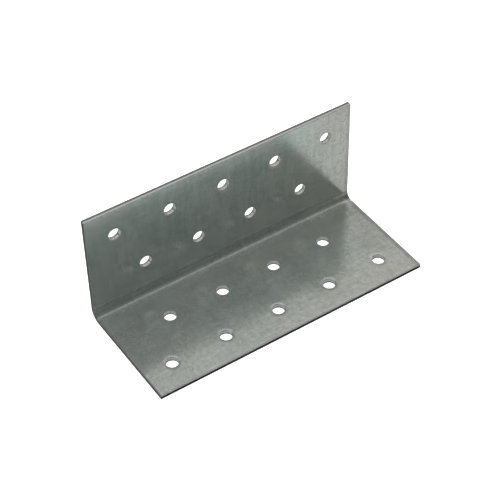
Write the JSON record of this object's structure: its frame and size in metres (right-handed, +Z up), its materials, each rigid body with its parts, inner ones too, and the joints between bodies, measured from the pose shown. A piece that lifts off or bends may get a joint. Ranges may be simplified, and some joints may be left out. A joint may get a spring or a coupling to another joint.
{
  "type": "perforated angle bracket",
  "caption": "L-shaped galvanised sheet steel bracket with equal legs, a rounded fold and two staggered rows of round screw holes in each leg.",
  "frame": {"origin": "on the ground under the middle of the bracket's box, on the underside of the lying leg", "axes": "+X along the fold, -Y towards the front edge of the lying leg, +Y out through the back face of the upright leg, +Z up"},
  "size_m": [0.12, 0.0504, 0.0504],
  "materials": {
    "galvanised_steel": "satin zinc coating on rolled sheet"
  },
  "bodies": {
    "root": {"angle_bracket": "galvanised_steel"}
  },
  "joints": []
}
